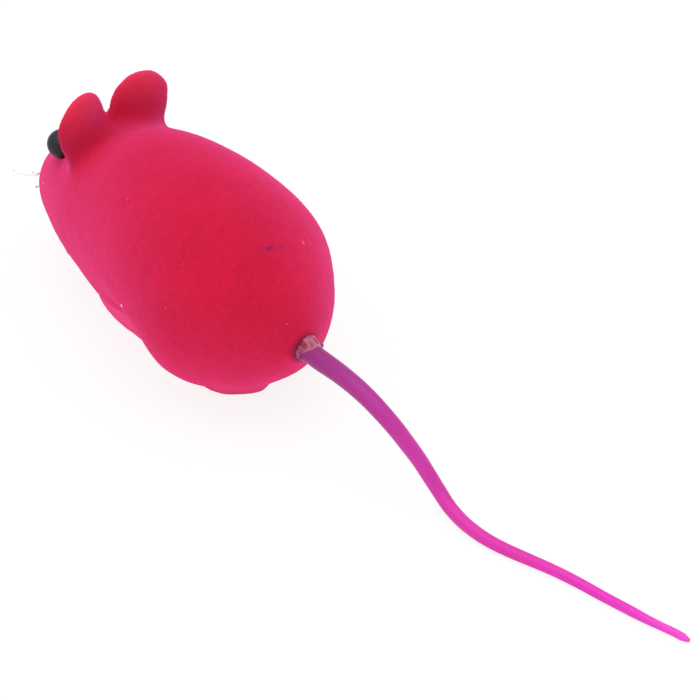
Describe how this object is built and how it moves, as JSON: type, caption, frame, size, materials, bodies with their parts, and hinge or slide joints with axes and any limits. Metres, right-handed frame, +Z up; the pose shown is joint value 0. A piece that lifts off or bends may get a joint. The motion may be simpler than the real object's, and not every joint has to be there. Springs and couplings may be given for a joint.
{
  "type": "squeaky mouse cat toy",
  "caption": "Flocked hollow soft-vinyl mouse with bead eyes, clear whiskers, a squeaker in its base and a long soft tail that swings at its root.",
  "frame": {"origin": "on the floor under the middle of the mouse, the tail left out", "axes": "+Z up, the snout points along -Y and the tail leaves along +Y, +X to the mouse's left"},
  "size_m": [0.03, 0.1261, 0.0341],
  "materials": {
    "flocked_vinyl": "short pink-red flock on soft vinyl, velvety and matte",
    "black_plastic": "charcoal black bead, satin",
    "clear_nylon": "thin clear nylon filament",
    "white_plastic": "moulded white polyethylene",
    "reed_film": "stiff translucent film",
    "soft_tail": "translucent magenta soft vinyl, satin",
    "dried_glue": "dried clear glue film, wrinkled"
  },
  "bodies": {
    "mouse": {"body_shell": "flocked_vinyl", "eye_left": "black_plastic", "eye_right": "black_plastic", "whisker_1": "clear_nylon", "whisker_2": "clear_nylon", "whisker_3": "clear_nylon", "squeaker_plug": "white_plastic", "reed_bed": "white_plastic", "reed_wedge": "white_plastic", "tail_plug": "soft_tail", "tail_glue": "dried_glue"},
    "tail": {"tail": "soft_tail"},
    "reed": {"reed": "reed_film"}
  },
  "joints": [
    {"name": "tail_swing", "type": "hinge", "parent": "mouse", "child": "tail", "pos_m": [0, 0.03315, 0.0146], "axis": [0, 0, 1], "range_deg": [-40, 40], "stiffness_Nm_per_rad": 0.002},
    {"name": "reed_flutter", "type": "hinge", "parent": "mouse", "child": "reed", "pos_m": [0, 0.003, 0.0082], "axis": [1, 0, 0], "range_deg": [-2, 5], "stiffness_Nm_per_rad": 0.0005}
  ]
}
